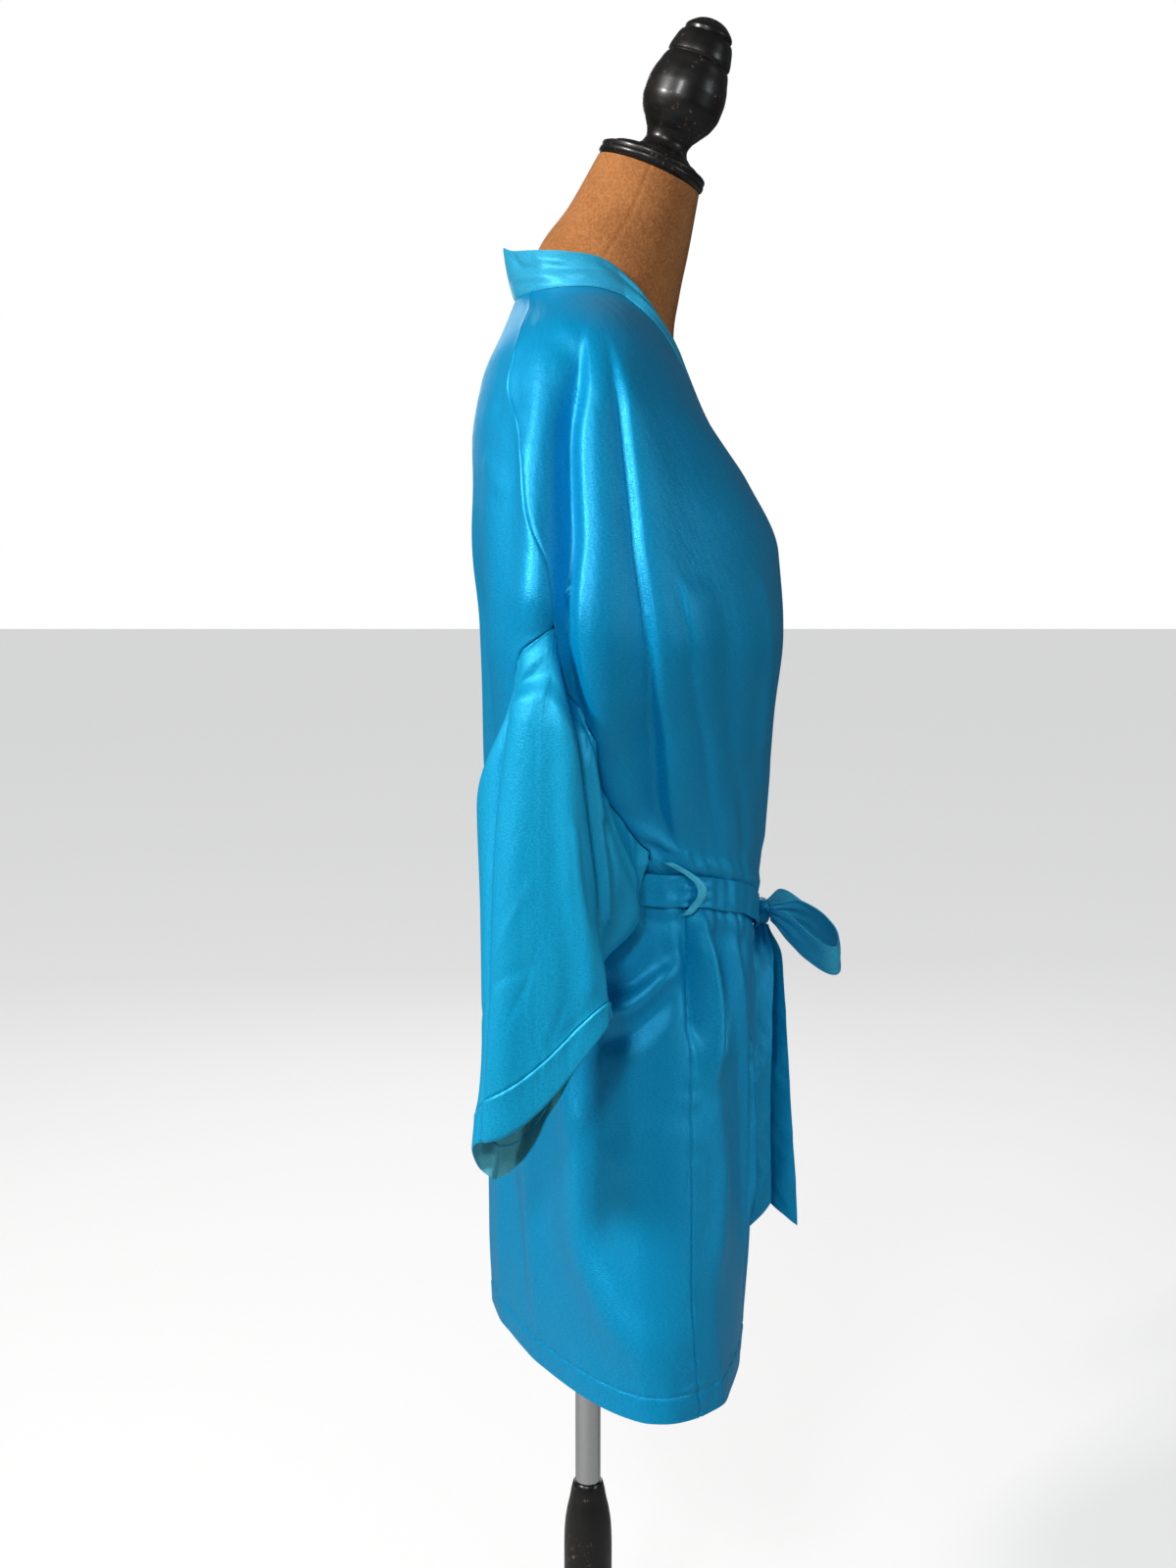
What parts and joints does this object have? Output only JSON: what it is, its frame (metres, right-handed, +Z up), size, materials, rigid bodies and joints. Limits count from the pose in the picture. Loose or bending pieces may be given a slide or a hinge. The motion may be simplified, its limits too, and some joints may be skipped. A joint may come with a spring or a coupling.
{
  "type": "kimono robe on dress form",
  "caption": "Short satin kimono robe with wide sleeves and a tied belt, hung on a limbless dress form with a turned wooden stand.",
  "frame": {"origin": "centre of the stand's base, on the floor", "axes": "+Z up, -Y is the front of the robe, -X is the wearer's right"},
  "size_m": [0.5094, 0.3722, 1.5626],
  "materials": {
    "turquoise_satin": "glossy satin weave, brighter on the folds",
    "brown_suede_cover": "napped suede-like cover",
    "black_turned_wood": "black gloss, a little worn",
    "steel_rod": "polished steel"
  },
  "bodies": {
    "root": {"back": "turquoise_satin", "front_right": "turquoise_satin", "front_left": "turquoise_satin", "collar_right": "turquoise_satin", "collar_left": "turquoise_satin", "sleeve_right": "turquoise_satin", "cuff_right": "turquoise_satin", "sleeve_left": "turquoise_satin", "cuff_left": "turquoise_satin", "belt_waist": "turquoise_satin", "carrier_right": "turquoise_satin", "carrier_left": "turquoise_satin", "belt_knot": "turquoise_satin", "bow_loop_right": "turquoise_satin", "bow_loop_left": "turquoise_satin", "belt_tail_right": "turquoise_satin", "belt_tail_left": "turquoise_satin", "torso": "brown_suede_cover", "neck_cap": "black_turned_wood", "finial": "black_turned_wood", "rod": "steel_rod", "post": "black_turned_wood", "base": "black_turned_wood"}
  },
  "joints": []
}
